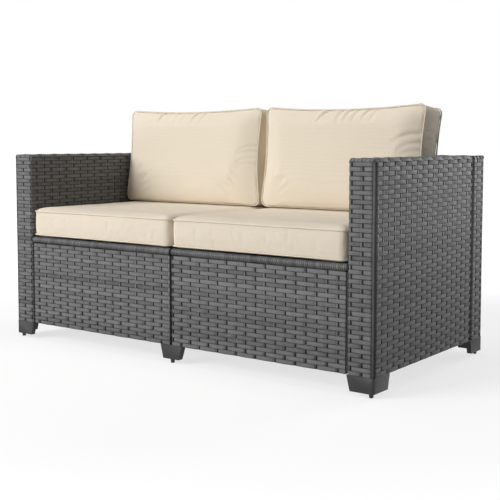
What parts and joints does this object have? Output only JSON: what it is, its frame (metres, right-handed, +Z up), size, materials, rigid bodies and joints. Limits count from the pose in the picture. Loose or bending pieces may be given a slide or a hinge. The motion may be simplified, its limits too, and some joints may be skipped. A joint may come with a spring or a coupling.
{
  "type": "patio loveseat",
  "caption": "Boxed woven-resin garden loveseat with flat arms, a wrapped front rail, short corner feet and loose piped seat and back cushions.",
  "frame": {"origin": "on the floor, under the middle of the loveseat's bounding box", "axes": "+X to the viewer's right when facing the seat, front faces -Y, +Z up"},
  "size_m": [1.366, 0.675, 0.7664],
  "materials": {
    "wicker": "satin",
    "frame_steel": "satin",
    "foot_plastic": "satin",
    "glide_nylon": "matte",
    "zinc_steel": "satin",
    "cushion_cloth": "matte",
    "cushion_piping": "matte",
    "cushion_filling": "matte"
  },
  "bodies": {
    "loveseat": {"arm_posts_left": "frame_steel", "arm_rails_left": "frame_steel", "arm_spacers_left": "frame_steel", "arm_wicker_left": "wicker", "arm_posts_right": "frame_steel", "arm_rails_right": "frame_steel", "arm_spacers_right": "frame_steel", "arm_wicker_right": "wicker", "back_posts": "frame_steel", "back_rails": "frame_steel", "back_spacers": "frame_steel", "back_wicker": "wicker", "seat_front_rail_left": "frame_steel", "seat_long_rails_left": "frame_steel", "seat_rear_rail_left": "frame_steel", "skirt_posts_left": "frame_steel", "skirt_bottom_rail_left": "frame_steel", "seat_deck_left": "wicker", "skirt_wicker_left": "wicker", "rail_wrap_left": "wicker", "seat_front_rail_right": "frame_steel", "seat_long_rails_right": "frame_steel", "seat_rear_rail_right": "frame_steel", "skirt_posts_right": "frame_steel", "skirt_bottom_rail_right": "frame_steel", "seat_deck_right": "wicker", "skirt_wicker_right": "wicker", "rail_wrap_right": "wicker", "foot_front_left": "foot_plastic", "foot_front_right": "foot_plastic", "foot_rear_left": "foot_plastic", "foot_rear_right": "foot_plastic", "foot_front_middle": "foot_plastic", "foot_rear_middle": "foot_plastic", "frame_bolts": "zinc_steel", "frame_washers": "zinc_steel", "rivet_nuts": "zinc_steel", "back_bolts": "zinc_steel", "foot_screws": "zinc_steel"},
    "seat_cushion_left": {"seat_cushion_left_cover": "cushion_cloth", "seat_cushion_left_filling": "cushion_filling", "seat_cushion_left_piping": "cushion_piping"},
    "seat_cushion_right": {"seat_cushion_right_cover": "cushion_cloth", "seat_cushion_right_filling": "cushion_filling", "seat_cushion_right_piping": "cushion_piping"},
    "back_cushion_left": {"back_cushion_left_cover": "cushion_cloth", "back_cushion_left_filling": "cushion_filling", "back_cushion_left_piping": "cushion_piping"},
    "back_cushion_right": {"back_cushion_right_cover": "cushion_cloth", "back_cushion_right_filling": "cushion_filling", "back_cushion_right_piping": "cushion_piping"},
    "glide_front_left": {"glide_front_left": "glide_nylon"},
    "glide_front_right": {"glide_front_right": "glide_nylon"},
    "glide_rear_left": {"glide_rear_left": "glide_nylon"},
    "glide_rear_right": {"glide_rear_right": "glide_nylon"},
    "glide_front_middle": {"glide_front_middle": "glide_nylon"},
    "glide_rear_middle": {"glide_rear_middle": "glide_nylon"}
  },
  "joints": [
    {"name": "seat_cushion_left_pull", "type": "slide", "parent": "loveseat", "child": "seat_cushion_left", "axis": [0, -1, 0], "range_m": [0, 0.62]},
    {"name": "seat_cushion_right_pull", "type": "slide", "parent": "loveseat", "child": "seat_cushion_right", "axis": [0, -1, 0], "range_m": [0, 0.62]},
    {"name": "back_cushion_left_lift", "type": "slide", "parent": "loveseat", "child": "back_cushion_left", "axis": [0, 0, 1], "range_m": [0, 0.35]},
    {"name": "back_cushion_right_lift", "type": "slide", "parent": "loveseat", "child": "back_cushion_right", "axis": [0, 0, 1], "range_m": [0, 0.35]},
    {"name": "glide_front_left_turn", "type": "hinge", "parent": "loveseat", "child": "glide_front_left", "pos_m": [-0.6675, -0.322, 0.012], "axis": [0, 0, 1], "continuous": true},
    {"name": "glide_front_right_turn", "type": "hinge", "parent": "loveseat", "child": "glide_front_right", "pos_m": [0.6675, -0.322, 0.012], "axis": [0, 0, 1], "continuous": true},
    {"name": "glide_rear_left_turn", "type": "hinge", "parent": "loveseat", "child": "glide_rear_left", "pos_m": [-0.6675, 0.322, 0.012], "axis": [0, 0, 1], "continuous": true},
    {"name": "glide_rear_right_turn", "type": "hinge", "parent": "loveseat", "child": "glide_rear_right", "pos_m": [0.6675, 0.322, 0.012], "axis": [0, 0, 1], "continuous": true},
    {"name": "glide_front_middle_turn", "type": "hinge", "parent": "loveseat", "child": "glide_front_middle", "pos_m": [0, -0.3255, 0.012], "axis": [0, 0, 1], "continuous": true},
    {"name": "glide_rear_middle_turn", "type": "hinge", "parent": "loveseat", "child": "glide_rear_middle", "pos_m": [0, 0.3285, 0.012], "axis": [0, 0, 1], "continuous": true}
  ]
}
